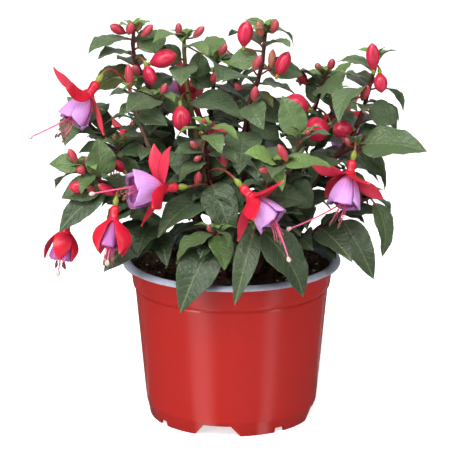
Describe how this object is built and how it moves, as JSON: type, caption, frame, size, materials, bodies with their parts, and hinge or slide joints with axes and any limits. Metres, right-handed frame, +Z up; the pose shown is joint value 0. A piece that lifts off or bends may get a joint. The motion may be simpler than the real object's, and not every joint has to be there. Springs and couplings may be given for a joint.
{
  "type": "potted fuchsia plant",
  "caption": "Bushy fuchsia with hanging two-tone bell flowers and drop-shaped buds on arching leafy stems, in a round tapered plastic grower pot filled with soil.",
  "frame": {"origin": "centre of the pot's foot, on the surface that it stands on, under the middle of the plant", "axes": "+Z up; the side that the picture shows faces -Y, with +X to its right"},
  "size_m": [0.2296, 0.1865, 0.241],
  "materials": {
    "pot": "satin moulded red plastic, pale grey inside",
    "soil": "loose dark brown peat with pale mineral grains",
    "foliage": "soft dark green leaves with a paler midrib, on reddish brown stems",
    "calyx": "smooth waxy scarlet",
    "corolla": "soft lavender petals, flushed pink at the base",
    "stamens": "thin pink threads",
    "buds": "smooth waxy red"
  },
  "bodies": {
    "root": {"pot": "pot", "soil": "soil", "stem_left": "foliage", "stem_upper_left": "foliage", "stem_centre_left": "foliage", "stem_centre": "foliage", "stem_front": "foliage", "stem_top_right": "foliage", "stem_right": "foliage", "stem_back_right": "foliage", "stem_front_right": "foliage", "stem_low_right": "foliage", "stem_back_left": "foliage", "stem_back": "foliage", "stem_back_far_right": "foliage", "calyx_left_top": "calyx", "calyx_left_mid": "calyx", "calyx_low_left": "calyx", "calyx_far_left": "calyx", "calyx_centre": "calyx", "calyx_right": "calyx", "calyx_upper_back": "calyx", "calyx_back_right": "calyx", "calyx_back_left": "calyx", "calyx_back_low": "calyx", "corolla_left_top": "corolla", "corolla_left_mid": "corolla", "corolla_low_left": "corolla", "corolla_far_left": "corolla", "corolla_centre": "corolla", "corolla_right": "corolla", "corolla_upper_back": "corolla", "corolla_back_right": "corolla", "corolla_back_left": "corolla", "corolla_back_low": "corolla", "stamens_left_top": "stamens", "stamens_left_mid": "stamens", "stamens_low_left": "stamens", "stamens_far_left": "stamens", "stamens_centre": "stamens", "stamens_right": "stamens", "stamens_upper_back": "stamens", "stamens_back_right": "stamens", "stamens_back_left": "stamens", "stamens_back_low": "stamens", "bud_upper_left": "buds", "bud_fat_left": "buds", "bud_hanging_left": "buds", "bud_club": "buds", "bud_top_right": "buds", "bud_fat_centre": "buds", "bud_wide": "buds", "bud_side_centre": "buds", "bud_side_right": "buds", "bud_tall_right": "buds", "bud_drop_right": "buds", "bud_low_left": "buds", "bud_long_left": "buds", "bud_mid_left": "buds"}
  },
  "joints": []
}
